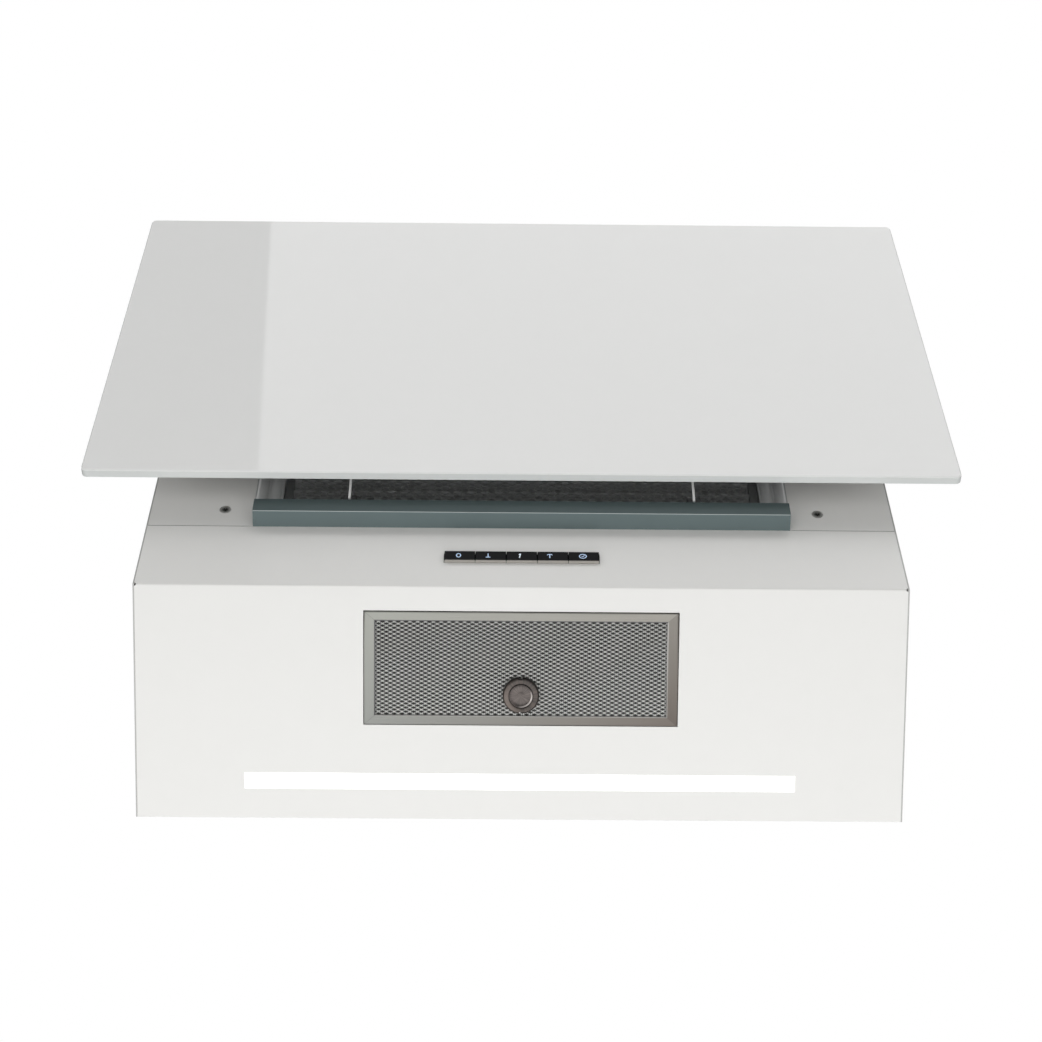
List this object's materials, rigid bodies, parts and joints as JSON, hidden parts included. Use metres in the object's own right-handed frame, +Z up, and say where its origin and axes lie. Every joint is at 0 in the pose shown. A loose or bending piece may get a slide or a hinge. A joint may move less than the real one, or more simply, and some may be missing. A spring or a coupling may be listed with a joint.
{
  "type": "range hood",
  "caption": "Inclined wall range hood with a swing-up front panel, push keys, a lamp strip, a tilting lower grease filter with a turning latch, a centrifugal blower and a round outlet.",
  "frame": {"origin": "middle of the four wall holes, on the wall face", "axes": "+X to the right along the wall, +Y into the wall, +Z up"},
  "size_m": [0.6, 0.4021, 0.4108],
  "materials": {
    "glass": "glossy",
    "sheet": "satin",
    "steel": "brushed",
    "rail": "satin",
    "dark_plastic": "matte",
    "key": "glossy",
    "aluminium": "satin",
    "white_plastic": "matte",
    "grey_plastic": "matte",
    "board": "matte",
    "motor_steel": "satin",
    "lamp": "lit"
  },
  "bodies": {
    "hood_body": {"back_plate": "sheet", "top_plate": "sheet", "side_panel_left": "sheet", "side_panel_right": "sheet", "lower_shell": "sheet", "front_plate": "sheet", "plate_screws": "steel", "intake_rail": "rail", "catch_clip_left": "dark_plastic", "catch_clip_right": "dark_plastic", "intake_frame": "steel", "hinge_bracket_left": "steel", "hinge_bracket_right": "steel", "hinge_pins": "steel", "display_window": "key", "keypad_housing": "dark_plastic", "keypad_board": "board", "lamp_diffuser": "lamp", "lamp_board": "board", "lamp_channel": "aluminium", "filter_hinge_left": "steel", "filter_hinge_right": "steel", "latch_catch": "steel", "blower_scroll_left": "grey_plastic", "blower_scroll_right": "grey_plastic", "motor": "motor_steel", "motor_bracket": "steel", "motor_screws": "steel", "outlet_collar": "dark_plastic", "outlet_screws": "steel", "flap_pins": "steel", "control_box": "white_plastic", "control_board": "board", "control_lid": "white_plastic", "cable_gland": "dark_plastic", "gland_nut": "dark_plastic"},
    "front_panel": {"glass_panel": "glass", "panel_frame": "steel", "catch_blade_left": "steel", "catch_blade_right": "steel", "panel_ear_left": "steel", "panel_ear_right": "steel"},
    "main_filter": {"main_filter_frame": "aluminium", "main_filter_media": "aluminium"},
    "power_key": {"key_power": "key"},
    "slower_key": {"key_slower": "key"},
    "faster_key": {"key_faster": "key"},
    "timer_key": {"key_timer": "key"},
    "lower_filter": {"lower_filter_frame": "aluminium", "lower_filter_mesh": "aluminium", "lower_filter_media": "aluminium", "knob_bush": "white_plastic"},
    "latch_knob": {"filter_knob": "grey_plastic", "knob_disc": "steel", "latch_tongue": "steel"},
    "rotor": {"impeller": "grey_plastic", "motor_shaft": "steel"},
    "flap_front": {"damper_flap_front": "dark_plastic"},
    "flap_back": {"damper_flap_back": "dark_plastic"}
  },
  "joints": [
    {"name": "panel_hinge", "type": "hinge", "parent": "hood_body", "child": "front_panel", "pos_m": [0, -0.37759, 0.10572], "axis": [-1, 0, 0], "range_deg": [0, 80]},
    {"name": "main_filter_pull", "type": "slide", "parent": "hood_body", "child": "main_filter", "axis": [0, -0.8425, -0.5388], "range_m": [0, 0.01]},
    {"name": "power_key_press", "type": "slide", "parent": "hood_body", "child": "power_key", "axis": [0, 0.8425, 0.5388], "range_m": [0, 0.001], "stiffness_N_per_m": 400, "springref_m": -0.001},
    {"name": "slower_key_press", "type": "slide", "parent": "hood_body", "child": "slower_key", "axis": [0, 0.8425, 0.5388], "range_m": [0, 0.001], "stiffness_N_per_m": 400, "springref_m": -0.001},
    {"name": "faster_key_press", "type": "slide", "parent": "hood_body", "child": "faster_key", "axis": [0, 0.8425, 0.5388], "range_m": [0, 0.001], "stiffness_N_per_m": 400, "springref_m": -0.001},
    {"name": "timer_key_press", "type": "slide", "parent": "hood_body", "child": "timer_key", "axis": [0, 0.8425, 0.5388], "range_m": [0, 0.001], "stiffness_N_per_m": 400, "springref_m": -0.001},
    {"name": "lower_filter_tilt", "type": "hinge", "parent": "hood_body", "child": "lower_filter", "pos_m": [0, -0.1367, -0.2226], "axis": [-1, 0, 0], "range_deg": [0, 80]},
    {"name": "latch_turn", "type": "hinge", "parent": "lower_filter", "child": "latch_knob", "pos_m": [0, -0.0844, -0.225], "axis": [0, 0, 1], "range_deg": [0, 90]},
    {"name": "rotor_spin", "type": "hinge", "parent": "hood_body", "child": "rotor", "pos_m": [0, -0.125, -0.057], "axis": [1, 0, 0], "continuous": true},
    {"name": "flap_front_swing", "type": "hinge", "parent": "hood_body", "child": "flap_front", "pos_m": [0, -0.0954, 0.132], "axis": [-1, 0, 0], "range_deg": [0, 75]},
    {"name": "flap_back_swing", "type": "hinge", "parent": "hood_body", "child": "flap_back", "pos_m": [0, -0.0886, 0.132], "axis": [1, 0, 0], "range_deg": [0, 75]}
  ]
}
